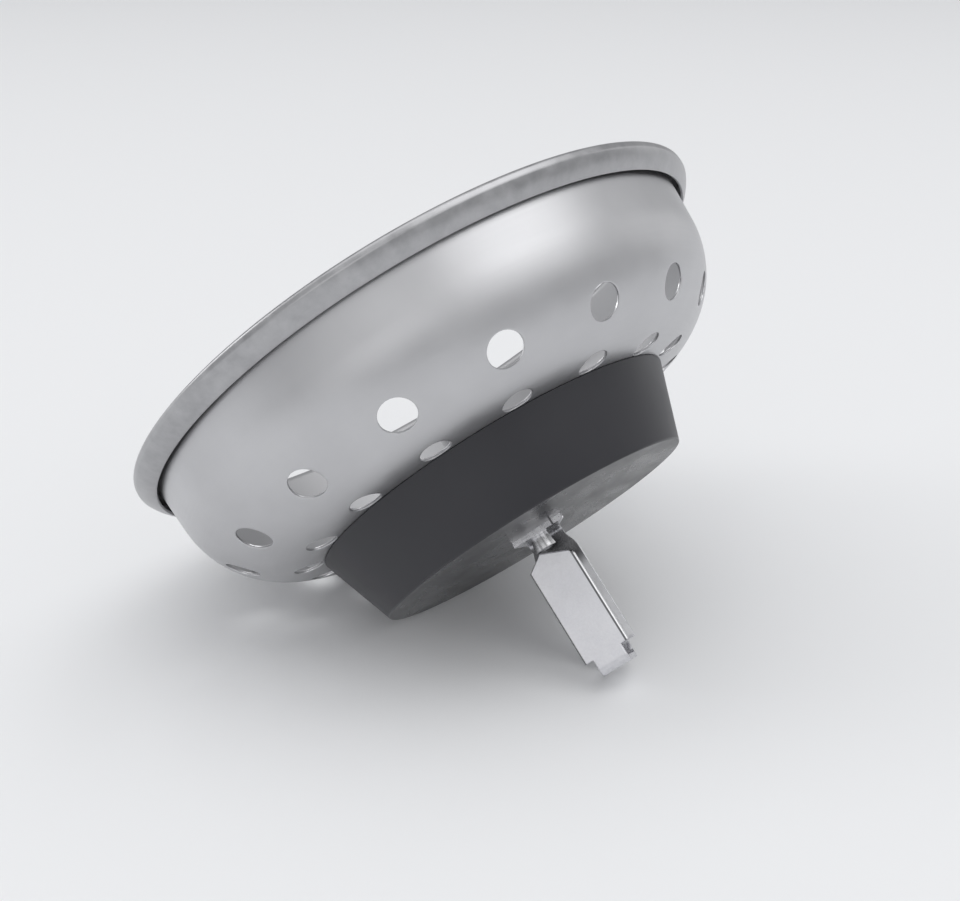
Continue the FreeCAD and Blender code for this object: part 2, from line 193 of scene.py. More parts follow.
# Camera, fitted to the rim, the stopper and the holes: radians, pixels and millimetres
IMAGE_WIDTH = 960
IMAGE_HEIGHT = 901
CAMERA_ROLL = -0.5547
CAMERA_PITCH = 0.1873
CAMERA_TURN = math.radians(9.9)
CAMERA_OFFSET = Vector((-7.240, -10.900, 182.69))
CAMERA_LEVEL = -2.45
FOCAL_PIXELS = 1380.5
CENTRE_PIXEL = (484.07, 441.64)
SENSOR = 36.0

# Studio: metres, radians and colours
CAMERA_NEAR = 0.005
CAMERA_FAR = 20.0
FLOOR_SLOPE = math.radians(25.0)
FLOOR_REACH = 1.5
FLOOR_COLOUR = (0.86, 0.865, 0.875)
WORLD_COLOUR = (0.97, 0.98, 1.0)
WORLD_STRENGTH = 0.5
MIDDLE = Vector((0, 0, -0.018))

# Soft boxes: degrees above the floor and round from straight behind the object, metres, brightness
SOFT_BOXES = (
    SoftBox("key_softbox", 55.0, 122.0, 1.2, (1.2, 1.2), 0.76),
    SoftBox("key_core", 62.0, 118.0, 1.3, (0.8, 0.8), 0.55),
    SoftBox("left_softbox", 72.0, -105.0, 1.3, (1.2, 1.2), 0.88),
    SoftBox("left_glow", 20.0, -86.0, 1.3, (1.0, 0.5), 2.1),
    SoftBox("back_softbox", 60.0, 60.0, 1.3, (0.8, 0.8), 0.4),
    SoftBox("back_glow", 13.0, 58.0, 1.5, (1.5, 0.6), 0.4),
    SoftBox("front_fill", 25.0, -166.0, 1.0, (0.72, 0.5), 0.6),
)


def section_point(across, level, radius, angle):
    """The point of the section plane at a radius and an angle in degrees from a centre."""
    turn = math.radians(angle)
    return across + radius * math.cos(turn), level + radius * math.sin(turn)


def arc(across, level, radius, start, end, steps):
    """Points of an arc in the section plane, from angle start to angle end in degrees."""
    return [
        section_point(across, level, radius, start + (end - start) * step / steps)
        for step in range(steps + 1)
    ]


def line(start, end, steps):
    """Points that divide the way from start to end into steps, without these two."""
    return [
        tuple(first + (last - first) * step / steps for first, last in zip(start, end))
        for step in range(1, steps)
    ]


def rounded(before, corner, after, radius, steps):
    """Points of a rounding at a corner of a section."""
    corner = Vector(corner)
    to_before = (Vector(before) - corner).normalized()
    to_after = (Vector(after) - corner).normalized()
    half = to_before.angle(to_after) / 2
    reach = radius / math.tan(half)
    centre = corner + (to_before + to_after).normalized() * (radius / math.sin(half))
    first = corner + to_before * reach - centre
    last = corner + to_after * reach - centre
    turn = first.angle_signed(last)
    points = []
    for step in range(steps + 1):
        angle = -turn * step / steps
        cosine, sine = math.cos(angle), math.sin(angle)
        points.append((
            centre.x + first.x * cosine - first.y * sine,
            centre.y + first.x * sine + first.y * cosine,
        ))
    return points


def ring_point(across, level, angle):
    """A point in metres: its distance from the axis and level in millimetres, its angle round the axis."""
    return Vector((across * math.cos(angle), across * math.sin(angle), level)) * MM


def join_rows(mesh_data, rows):
    """Fills the bands between closed rows of vertices. A row of one vertex is a point on the axis."""
    for lower, upper in zip(rows, rows[1:]):
        columns = max(len(lower), len(upper))
        for step in range(columns):
            following = (step + 1) % columns
            if len(lower) == 1:
                corners = (lower[0], upper[following], upper[step])
            elif len(upper) == 1:
                corners = (lower[step], lower[following], upper[0])
            else:
                corners = (lower[step], lower[following], upper[following], upper[step])
            mesh_data.faces.new(corners)


def lathe(section, segments, closed):
    """Turns a section round the axis. Points on the axis become a single vertex."""
    mesh_data = bmesh.new()
    rows = []
    for across, level in section:
        columns = 1 if across < ON_AXIS else segments
        rows.append([
            mesh_data.verts.new(ring_point(across, level, 2 * math.pi * step / segments))
            for step in range(columns)
        ])
    if closed:
        rows.append(rows[0])
    join_rows(mesh_data, rows)
    return mesh_data


def new_piece(name, mesh_data, body, node, material):
    """Makes an object of a bmesh, puts it on its body and lets it stand for a node."""
    mesh = bpy.data.meshes.new(name)
    bmesh.ops.recalc_face_normals(mesh_data, faces=mesh_data.faces)
    mesh_data.to_mesh(mesh)
    mesh_data.free()
    for polygon in mesh.polygons:
        polygon.use_smooth = True
    mesh.set_sharp_from_angle(angle=SMOOTH_ANGLE)
    piece = bpy.data.objects.new(name, mesh)
    bpy.context.scene.collection.objects.link(piece)
    normals = piece.modifiers.new("even_normals", "WEIGHTED_NORMAL")
    normals.keep_sharp = True
    normals.weight = NORMAL_WEIGHT
    piece.data.materials.append(material)
    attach(piece, body)
    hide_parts(node)


def corner_point(radius, angle_round, angle_down):
    """A point of the basket's corner: radius from its centre line, angles round the axis and down."""
    across = CORNER_ACROSS + radius * math.cos(angle_down)
    level = CORNER_LEVEL - radius * math.sin(angle_down)
    return ring_point(across, level, angle_round)


def column_angle(number):
    """The angle round the axis of a column of the basket's mesh. A hole's middle is at angle 0."""
    return 2 * HALF_SECTOR * (number / SECTOR_STEPS - 0.5)


def ring_span(ring):
    """The angles down at which the cells of a ring of holes start and end."""
    return math.radians(ring.angle - ring.half_height), math.radians(ring.angle + ring.half_height)


def hole_angles(radius, ring_angle, hole_radius, turn):
    """Where a punch's side leaves the corner: the angle round from the hole's middle and the angle down."""
    out = Vector((math.cos(ring_angle), 0, -math.sin(ring_angle)))
    along = Vector((-math.sin(ring_angle), 0, -math.cos(ring_angle)))
    side = Vector((0, 1, 0))
    offset = side * (hole_radius * math.cos(turn)) + along * (hole_radius * math.sin(turn))
    reach = radius
    for _ in range(PUNCH_ROUNDS):
        point = out * reach + offset
        across = math.hypot(point.x + CORNER_ACROSS, point.y) - CORNER_ACROSS
        reach += radius - math.hypot(across, point.z)
    point = out * reach + offset
    across = math.hypot(point.x + CORNER_ACROSS, point.y) - CORNER_ACROSS
    return math.atan2(point.y, point.x + CORNER_ACROSS), math.atan2(-point.z, across)


def punched_ring(radius, ring_angle, hole_radius, border):
    """Angles of the points round one hole, each turned the way of its point on the cell's border."""
    ring_reach = CORNER_ACROSS + CORNER_RADIUS * math.cos(ring_angle)
    points = []
    for angle_round, angle_down in border:
        turn = math.atan2((angle_down - ring_angle) * CORNER_RADIUS, angle_round * ring_reach)
        points.append(hole_angles(radius, ring_angle, hole_radius, turn))
    return points


def cell_border(low, high):
    """Angles round and down along a hole's cell: its low edge, right edge, high edge and left edge."""
    corners = [(-HALF_SECTOR, low), (HALF_SECTOR, low), (HALF_SECTOR, high), (-HALF_SECTOR, high)]
    border = []
    for number, start in enumerate(corners):
        end = corners[(number + 1) % len(corners)]
        border.append(start)
        border += line(start, end, CELL_STEPS if number % 2 else SECTOR_STEPS)
    return border


class BasketSheet:
    """The basket's mesh. Its corner's vertices are kept by their angles, so that cells share them."""

    def __init__(self):
        self.mesh_data = bmesh.new()
        self.corner = {}

    def corner_vertex(self, radius, angle_round, angle_down):
        """The corner's vertex at these angles, made once."""
        step = round(angle_round / (2 * HALF_SECTOR) * SECTOR_STEPS * KEY_PARTS) % (SEGMENTS * KEY_PARTS)
        key = (radius, step, round(angle_down, KEY_DIGITS))
        if key not in self.corner:
            self.corner[key] = self.mesh_data.verts.new(corner_point(radius, angle_round, angle_down))
        return self.corner[key]

    def corner_row(self, radius, angle_down):
        """A closed row of the corner's vertices at an angle down."""
        return [self.corner_vertex(radius, column_angle(number), angle_down) for number in range(SEGMENTS)]

    def cell_row(self, radius, middle, angles):
        """A closed row of new vertices at angles round from a hole's middle and down."""
        return [
            self.mesh_data.verts.new(corner_point(radius, middle + turn, down))
            for turn, down in angles
        ]

    def turned_row(self, across, level):
        """A closed row of new vertices round the axis."""
        return [
            self.mesh_data.verts.new(ring_point(across, level, column_angle(number)))
            for number in range(SEGMENTS)
        ]

    def add_band(self, radius, start, end, steps):
        """A plain band of the corner between two angles down."""
        rows = [self.corner_row(radius, start + (end - start) * step / steps) for step in range(steps + 1)]
        join_rows(self.mesh_data, rows)

    def add_turned(self, section, angle_down):
        """A section turned round the axis, from the corner's outside to its inside at an angle down."""
        rows = [self.corner_row(CORNER_RADIUS, angle_down)]
        rows += [self.turned_row(across, level) for across, level in section]
        rows.append(self.corner_row(CORNER_RADIUS - SHEET, angle_down))
        join_rows(self.mesh_data, rows)

    def add_cell(self, middle, ring):
        """Both faces of the sheet round one hole, and the hole's wall between them."""
        ring_angle = math.radians(ring.angle)
        border = cell_border(*ring_span(ring))
        wall = []
        for radius, inward in ((CORNER_RADIUS, -1), (CORNER_RADIUS - SHEET, 1)):
            rows = [[self.corner_vertex(radius, middle + turn, down) for turn, down in border]]
            wide = punched_ring(radius, ring_angle, ring.diameter / 2 + EDGE_ROUND, border)
            for share in CELL_SHARES:
                between = [
                    tuple(first + (last - first) * share for first, last in zip(edge, hole))
                    for edge, hole in zip(border, wide)
                ]
                rows.append(self.cell_row(radius, middle, between))
            rows.append(self.cell_row(radius, middle, wide))
            for depth in EDGE_DEPTHS:
                wider = EDGE_ROUND * (1 - math.sin(math.acos(1 - depth)))
                surface = radius + inward * EDGE_ROUND * depth
                narrow = punched_ring(surface, ring_angle, ring.diameter / 2 + wider, border)
                rows.append(self.cell_row(surface, middle, narrow))
            join_rows(self.mesh_data, rows)
            wall.append(rows[-1])
        join_rows(self.mesh_data, wall)


def rim_section():
    """From the outside of the wall up, round the turned rim and down the inside of the wall."""
    land = RIM_LAND / 2
    lean = math.radians(WALL_LEAN)
    root_turn = 180 - WALL_LEAN
    root_level = RIM_TOP - SHEET - ROOT_RADIUS
    root_across = CORNER_ACROSS + (CORNER_RADIUS + ROOT_RADIUS) / math.cos(lean)
    root_across += (root_level - CORNER_LEVEL) * math.tan(lean)

    def wall(foot_radius, head_radius):
        """The wall's line from the corner up to the bend at its root."""
        foot = section_point(CORNER_ACROSS, CORNER_LEVEL, foot_radius, -WALL_LEAN)
        head = section_point(root_across, root_level, head_radius, root_turn)
        return line(foot, head, steps=6)

    nose_across = RIM_RADIUS - RIM_NOSE
    bend_across = RIM_RADIUS - BEND_RADIUS
    bend_turn = math.radians(BEND_ANGLE)
    skirt_across = bend_across - (SKIRT_RADIUS - BEND_RADIUS) * math.cos(bend_turn)
    skirt_level = -land + (SKIRT_RADIUS - BEND_RADIUS) * math.sin(bend_turn)
    inner = arc(skirt_across, skirt_level, SKIRT_RADIUS - SHEET, -BEND_ANGLE, -SKIRT_ANGLE, steps=8)
    outer = arc(skirt_across, skirt_level, SKIRT_RADIUS, -SKIRT_ANGLE, -BEND_ANGLE, steps=10)
    points = wall(CORNER_RADIUS, ROOT_RADIUS)
    points += arc(root_across, root_level, ROOT_RADIUS, root_turn, 90, steps=6)
    points += arc(nose_across, land, RIM_NOSE - SHEET, 90, 0, steps=5)
    points += arc(bend_across, -land, BEND_RADIUS - SHEET, 0, -BEND_ANGLE, steps=5)
    points += inner[1:-1]
    points += rounded(inner[-2], inner[-1], outer[0], EDGE_ROUND, steps=3)
    points += rounded(inner[-1], outer[0], outer[1], EDGE_ROUND, steps=3)
    points += outer[1:-1]
    points += arc(bend_across, -land, BEND_RADIUS, -BEND_ANGLE, 0, steps=8)
    points += arc(nose_across, land, RIM_NOSE, 0, 90, steps=10)
    points += arc(root_across, root_level, ROOT_RADIUS + SHEET, 90, root_turn, steps=8)
    points += reversed(wall(CORNER_RADIUS - SHEET, ROOT_RADIUS + SHEET))
    return points


def floor_section():
    """From the outside of the floor in to its hole and back along the inside."""
    hole_outside = (SPIGOT_HOLE, FLOOR_OUTSIDE)
    hole_inside = (SPIGOT_HOLE, FLOOR_INSIDE)
    points = line((CORNER_ACROSS, FLOOR_OUTSIDE), hole_outside, steps=8)
    points += [hole_outside, hole_inside]
    points += line(hole_inside, (CORNER_ACROSS, FLOOR_INSIDE), steps=8)
    return points


def build_basket():
    """The pressed sheet, with each hole in a mesh cell of its own."""
    sheet = BasketSheet()
    corner_top = math.radians(WALL_LEAN)
    corner_bottom = math.radians(90)
    upper_low, upper_high = ring_span(UPPER_RING)
    lower_low, lower_high = ring_span(LOWER_RING)
    for radius in (CORNER_RADIUS, CORNER_RADIUS - SHEET):
        sheet.add_band(radius, corner_top, upper_low, steps=12)
        sheet.add_band(radius, upper_high, lower_low, steps=6)
        sheet.add_band(radius, lower_high, corner_bottom, steps=1)
    for number in range(HOLES):
        middle = 2 * HALF_SECTOR * number
        sheet.add_cell(middle, UPPER_RING)
        sheet.add_cell(middle, LOWER_RING)
    sheet.add_turned(rim_section(), corner_top)
    sheet.add_turned(floor_section(), corner_bottom)
    return sheet.mesh_data


def build_stopper():
    """The rubber cone with its hole for the post's spigot."""
    lower_hole = (SPIGOT_HOLE, STOPPER_LEVEL)
    lower = (STOPPER_BOTTOM, STOPPER_LEVEL)
    upper = (STOPPER_TOP, FLOOR_OUTSIDE)
    upper_hole = (SPIGOT_HOLE, FLOOR_OUTSIDE)
    section = [lower_hole]
    section += line(lower_hole, lower, steps=10)
    section += rounded(lower_hole, lower, upper, STOPPER_EDGE, steps=5)
    section += line(lower, upper, steps=8)[1:-1]
    section += rounded(lower, upper, upper_hole, STOPPER_TOP_EDGE, steps=5)
    section += line(upper, upper_hole, steps=10)[1:]
    section.append(upper_hole)
    return lathe(section, segments=256, closed=True)


def build_post():
    """The post from its dished, riveted tail up through the spigot, foot and stem to its peg."""
    tail_end = PLATE_BOTTOM - TAIL_LENGTH
    foot_top = FLOOR_INSIDE + FOOT_HEIGHT
    peg_top = STEM_TOP + PEG_LENGTH
    dish = (DISH_MIDDLE, tail_end + TAIL_DISH * DISH_MIDDLE_SHARE)
    lip = (TAIL_LIP, tail_end)
    tail = (TAIL, tail_end)
    spigot = (SPIGOT, PLATE_BOTTOM)
    foot = (FOOT, FLOOR_INSIDE)
    section = [(0, tail_end + TAIL_DISH), dish]
    section += rounded(dish, lip, tail, TAIL_EDGE, steps=3)
    section += rounded(lip, tail, spigot, TAIL_EDGE, steps=3)
    section += [spigot, (SPIGOT, FLOOR_INSIDE), foot]
    section += rounded(foot, (FOOT, foot_top), (STEM, foot_top), FOOT_EDGE, steps=4)
    section += arc(STEM + FOOT_FILLET, foot_top + FOOT_FILLET, FOOT_FILLET, 270, 180, steps=8)
    section += [(STEM, STEM_TOP), (PEG, STEM_TOP), (PEG, peg_top), (0, peg_top)]
    return lathe(section, segments=96, closed=False)


def build_knob():
    """The domed knob with the socket that holds the post's peg."""
    side_low = STEM_TOP + KNOB_EDGE
    side_high = side_low + KNOB_SIDE
    dome_radius = (KNOB * KNOB + KNOB_DOME * KNOB_DOME) / (2 * KNOB_DOME)
    dome_level = side_high + KNOB_DOME - dome_radius
    edge_angle = math.degrees(math.atan2(side_high - dome_level, KNOB))
    dome = arc(0, dome_level, dome_radius, edge_angle, 90, steps=16)
    socket = PEG + SOCKET_PLAY
    socket_top = STEM_TOP + PEG_LENGTH + SOCKET_ROOM
    section = [(0, socket_top), (socket, socket_top), (socket, STEM_TOP)]
    section += arc(KNOB - KNOB_EDGE, side_low, KNOB_EDGE, -90, 0, steps=8)
    section += rounded((KNOB, side_low), dome[0], dome[2], KNOB_SHOULDER, steps=4)
    section += dome[1:-1]
    section.append((0, side_high + KNOB_DOME))
    return lathe(section, segments=128, closed=False)


def rounded_outline(corners):
    """An outline whose corners are (across, along, rounding)."""
    points = []
    for number, (across, along, radius) in enumerate(corners):
        if radius:
            before = corners[number - 1][:2]
            after = corners[(number + 1) % len(corners)][:2]
            points += rounded(before, (across, along), after, radius, steps=6)
        else:
            points.append((across, along))
    return points


def cut_blank(outline, hole):
    """A flat blank of strip. Outline and hole are points across and along, and a blank may have no hole."""
    mesh_data = bmesh.new()
    edges = []
    for loop in (outline, hole):
        verts = [mesh_data.verts.new((across, along, 0)) for across, along in loop]
        edges += [mesh_data.edges.new((verts[number - 1], verts[number])) for number in range(len(verts))]
    bmesh.ops.triangle_fill(mesh_data, use_beauty=True, edges=edges, normal=(0, 0, 1))
    if not hole:
        bmesh.ops.dissolve_limit(
            mesh_data, angle_limit=0.01, verts=mesh_data.verts[:], edges=mesh_data.edges[:],
            delimit={"NORMAL"},
        )
    raised = bmesh.ops.extrude_face_region(mesh_data, geom=mesh_data.faces[:], use_keep_orig=True)
    top = [item for item in raised["geom"] if isinstance(item, bmesh.types.BMVert)]
    bmesh.ops.translate(mesh_data, verts=top, vec=(0, 0, STRIP))
    bmesh.ops.recalc_face_normals(mesh_data, faces=mesh_data.faces)
    return mesh_data


def ease_edges(mesh_data, slit):
    """Rounds the edges of a blank's two faces, but leaves them square at the slit."""
    eased = []
    for edge in mesh_data.edges:
        if len(edge.link_faces) == 2 and edge.calc_face_angle() > EASED_ANGLE:
            first, second = [vert.co for vert in edge.verts]
            in_face = abs(first.z - second.z) < SAME_PLACE
            at_slit = abs(first.y - slit) < SAME_PLACE and abs(second.y - slit) < SAME_PLACE
            if in_face and not at_slit:
                eased.append(edge)
    bmesh.ops.bevel(
        mesh_data, geom=eased, offset=STRIP_EDGE, offset_type="OFFSET", segments=3, profile=0.5,
        affect="EDGES", clamp_overlap=True,
    )


def folded_strip(outline, hole, slit, cuts, fold):
    """A blank with eased edges, cut across at each place in cuts and folded."""
    mesh_data = cut_blank(outline, hole)
    ease_edges(mesh_data, slit)
    for along in cuts:
        geometry = mesh_data.verts[:] + mesh_data.edges[:] + mesh_data.faces[:]
        bmesh.ops.bisect_plane(
            mesh_data, geom=geometry, plane_co=(0, along, 0), plane_no=(0, 1, 0), clear_inner=False,
            clear_outer=False, dist=1e-5,
        )
    for vert in mesh_data.verts:
        vert.co = Vector(fold(*vert.co)) * MM
    return mesh_data


def bend_length(inside):
    """The length of a right-angled bend along the middle of the strip."""
    return (inside + STRIP / 2) * math.pi / 2


def bend_cuts(start, end):
    """Places along the strip at which a bend is divided."""
    return [start + (end - start) * step / BEND_STEPS for step in range(BEND_STEPS + 1)]


def build_clip():
    """Plate, neck, back leg and lower end. Along runs back, down the leg and forward below."""
    plate_run = LEG_BACK - NECK_BEND - STRIP
    neck_bend_end = plate_run + bend_length(NECK_BEND)
    leg_start = STOPPER_LEVEL - NECK_BEND - STRIP
    fold_start_level = CLIP_BOTTOM + FOLD_BEND + STRIP
    leg_end = neck_bend_end + leg_start - fold_start_level
    fold_end = leg_end + bend_length(FOLD_BEND)
    floor_back = LEG_BACK - FOLD_BEND - STRIP
    slit = -LEAF_FRONT + FOLD_BEND + STRIP + FOLD_GAP
    strip_end = fold_end + floor_back - slit

    def along_leg(depth):
        return neck_bend_end + leg_start - (STOPPER_LEVEL - depth)

    neck_end = along_leg(NECK_DEPTH)
    shoulder = along_leg(SHOULDER_DEPTH)
    step = along_leg(STEP_DEPTH)
    right = [
        (PLATE_RIGHT, -PLATE_FRONT, PLATE_ROUND),
        (NECK_HALF, PLATE_TAPER_END, 0),
        (NECK_HALF, neck_end, 0),
        (STRIP_HALF, shoulder, SHOULDER_ROUND),
        (STRIP_HALF, step, STEP_ROUND),
        (TONGUE_HALF, step, STEP_ROUND),
        (TONGUE_HALF, strip_end, 0),
    ]
    left = [(-across, along, radius) for across, along, radius in reversed(right[1:])]
    left.append((-PLATE_LEFT, -PLATE_FRONT, PLATE_ROUND))
    hole = arc(0, 0, SPIGOT_HOLE, 0, 360, steps=32)[:-1]

    def fold(across, along, height):
        """Height 0 is the strip's inner face: below at the plate, in front at the leg."""
        outer = STRIP - height
        if along <= plate_run:
            return across, along, STOPPER_LEVEL - outer
        if along <= neck_bend_end:
            angle = (along - plate_run) / (NECK_BEND + STRIP / 2)
            radius = NECK_BEND + STRIP - outer
            return across, plate_run + radius * math.sin(angle), leg_start + radius * math.cos(angle)
        if along <= leg_end:
            return across, LEG_BACK - outer, leg_start - (along - neck_bend_end)
        if along <= fold_end:
            angle = (along - leg_end) / (FOLD_BEND + STRIP / 2)
            radius = FOLD_BEND + STRIP - outer
            level = fold_start_level - radius * math.sin(angle)
            return across, floor_back + radius * math.cos(angle), level
        return across, floor_back - (along - fold_end), CLIP_BOTTOM + outer

    cuts = bend_cuts(plate_run, neck_bend_end) + bend_cuts(leg_end, fold_end) + [neck_end, shoulder, step]
    return folded_strip(rounded_outline(right + left), hole, strip_end, cuts, fold)


def build_leaf():
    """Front bend and spring leaf. Along runs forward under the bend and up the leaf."""
    bend_end = bend_length(FOLD_BEND)
    bend_level = CLIP_BOTTOM + FOLD_BEND + STRIP
    bend_across = -LEAF_FRONT + FOLD_BEND + STRIP

    def along_leaf(depth):
        return bend_end + (STOPPER_LEVEL - depth) - bend_level

    step = along_leaf(STEP_DEPTH)
    corners = [
        (-TONGUE_HALF, 0.0, 0),
        (TONGUE_HALF, 0.0, 0),
        (TONGUE_HALF, step, STEP_ROUND),
        (STRIP_HALF, step, STEP_ROUND),
        (STRIP_HALF, along_leaf(LEAF_RIGHT_DEPTH), LEAF_RIGHT_ROUND),
        (-PEAK_OFFSET, along_leaf(PEAK_DEPTH), LEAF_ROUND),
        (-STRIP_HALF, along_leaf(LEAF_LEFT_DEPTH), LEAF_ROUND),
        (-STRIP_HALF, step, STEP_ROUND),
        (-TONGUE_HALF, step, STEP_ROUND),
    ]

    def fold(across, along, height):
        """Height 0 is the strip's inner face: above at the bend's start, behind at the leaf."""
        outer = STRIP - height
        if along <= bend_end:
            angle = along / (FOLD_BEND + STRIP / 2)
            radius = FOLD_BEND + STRIP - outer
            return across, bend_across - radius * math.sin(angle), bend_level - radius * math.cos(angle)
        return across, -LEAF_FRONT + outer, bend_level + along - bend_end

    cuts = bend_cuts(0.0, bend_end)[1:] + [step]
    return folded_strip(rounded_outline(corners), [], 0.0, cuts, fold)


def grey(value, blue=0.01):
    """A grey that is slightly cool: blue is what it has more of that colour."""
    return value, value, value + blue


def principled(name, metallic, roughness, colour):
    """A material, its node tree and its shader. Roughness and colour hold where unlinked."""
    material = bpy.data.materials.new(name)
    material.use_nodes = True
    tree = material.node_tree
    shader = tree.nodes["Principled BSDF"]
    shader.inputs["Metallic"].default_value = metallic
    shader.inputs["Roughness"].default_value = roughness
    shader.inputs["Base Color"].default_value = (*colour, 1.0)
    return material, tree, shader


def own_place(tree):
    """A point's place in its object's own frame."""
    return tree.nodes.new("ShaderNodeTexCoord").outputs["Object"]


def math_node(tree, operation, first, second=None):
    """A sum of one or two values, which are sockets or plain numbers."""
    node = tree.nodes.new("ShaderNodeMath")
    node.operation = operation
    for socket, value in zip(node.inputs, (first, second)):
        if value is None:
            continue
        if isinstance(value, (int, float)):
            socket.default_value = value
        else:
            tree.links.new(value, socket)
    return node.outputs["Value"]


def times(tree, first, second):
    return math_node(tree, "MULTIPLY", first, second)


def larger(tree, first, second):
    return math_node(tree, "MAXIMUM", first, second)


def outside(tree, area):
    """1 where an area is 0, and 0 where it is 1."""
    return math_node(tree, "SUBTRACT", 1.0, area)


def weighted(tree, *terms):
    """The sum of sockets, each times its weight."""
    total = None
    for socket, weight in terms:
        term = times(tree, socket, weight)
        total = term if total is None else math_node(tree, "ADD", total, term)
    return total


def noise_node(tree, vector, scale, detail, roughness=0.5):
    node = tree.nodes.new("ShaderNodeTexNoise")
    node.inputs["Scale"].default_value = scale
    node.inputs["Detail"].default_value = detail
    node.inputs["Roughness"].default_value = roughness
    tree.links.new(vector, node.inputs["Vector"])
    return node.outputs["Fac"]


def scaled_vector(tree, vector, scale):
    node = tree.nodes.new("ShaderNodeVectorMath")
    node.operation = "MULTIPLY"
    tree.links.new(vector, node.inputs[0])
    node.inputs[1].default_value = scale
    return node.outputs["Vector"]


def ramp(tree, factor, low, high, span=NOISE_SPAN):
    """Runs from low to high, two numbers or two colours, while the factor runs over its span."""
    node = tree.nodes.new("ShaderNodeValToRGB")
    for element, place, colour in zip(node.color_ramp.elements, span, (low, high)):
        element.position = place
        element.color = (*colour, 1.0) if isinstance(colour, tuple) else (colour, colour, colour, 1.0)
    tree.links.new(factor, node.inputs["Fac"])
    return node.outputs["Color"]


def coordinates(tree, place):
    """The three coordinates of a place, in metres."""
    parts = tree.nodes.new("ShaderNodeSeparateXYZ")
    tree.links.new(place, parts.inputs["Vector"])
    return parts.outputs["X"], parts.outputs["Y"], parts.outputs["Z"]


def axis_distance(tree, place):
    """How far a place is from the axis, and never quite nothing."""
    x, y, _ = coordinates(tree, place)
    squared = math_node(tree, "ADD", times(tree, x, x), times(tree, y, y))
    return larger(tree, math_node(tree, "SQRT", squared), NEAR_AXIS)


def around_axis(tree, place, turns, lines):
    """Coordinates that follow the turning: slow round the axis, quick across it."""
    x, y, z = coordinates(tree, place)
    across = axis_distance(tree, place)
    joined = tree.nodes.new("ShaderNodeCombineXYZ")
    for value, socket in ((x, "X"), (y, "Y")):
        turned = times(tree, math_node(tree, "DIVIDE", value, across), turns)
        tree.links.new(turned, joined.inputs[socket])
    along = math_node(tree, "SUBTRACT", z, across)
    tree.links.new(times(tree, along, lines), joined.inputs["Z"])
    return joined.outputs["Vector"]


def zone(tree, value, start, end):
    """0 up to start, 1 from end on, smooth between: the value in metres, start and end in millimetres."""
    node = tree.nodes.new("ShaderNodeMapRange")
    node.interpolation_type = "SMOOTHSTEP"
    node.inputs["From Min"].default_value = start * MM
    node.inputs["From Max"].default_value = end * MM
    tree.links.new(value, node.inputs["Value"])
    return node.outputs["Result"]


def edge_zone(tree, across, insets):
    """1 along an edge of the strip, from where its insets end."""
    return zone(tree, across, STRIP_HALF - insets[0], STRIP_HALF - insets[1])


def facing(tree, place, level):
    """How far a surface faces the axis at a level, in metres and positive on the side that sees it."""
    toward = tree.nodes.new("ShaderNodeVectorMath")
    toward.operation = "SUBTRACT"
    toward.inputs[0].default_value = (0, 0, level * MM)
    tree.links.new(place, toward.inputs[1])
    node = tree.nodes.new("ShaderNodeVectorMath")
    node.operation = "DOT_PRODUCT"
    tree.links.new(toward.outputs["Vector"], node.inputs[0])
    tree.links.new(tree.nodes.new("ShaderNodeTexCoord").outputs["Normal"], node.inputs[1])
    return node.outputs["Value"]


def mix(tree, factor, first, second, kind):
    """Mixes two sockets, kind FLOAT or RGBA."""
    node = tree.nodes.new("ShaderNodeMix")
    node.data_type = kind
    sockets = [socket for socket in node.inputs if socket.enabled]
    for socket, value in zip(sockets, (factor, first, second)):
        tree.links.new(value, socket)
    return next(socket for socket in node.outputs if socket.enabled)


def add_bump(tree, shader, height, strength, distance):
    """Fine relief, its distance in millimetres."""
    node = tree.nodes.new("ShaderNodeBump")
    node.inputs["Strength"].default_value = strength
    node.inputs["Distance"].default_value = distance * MM
    tree.links.new(height, node.inputs["Height"])
    tree.links.new(node.outputs["Normal"], shader.inputs["Normal"])


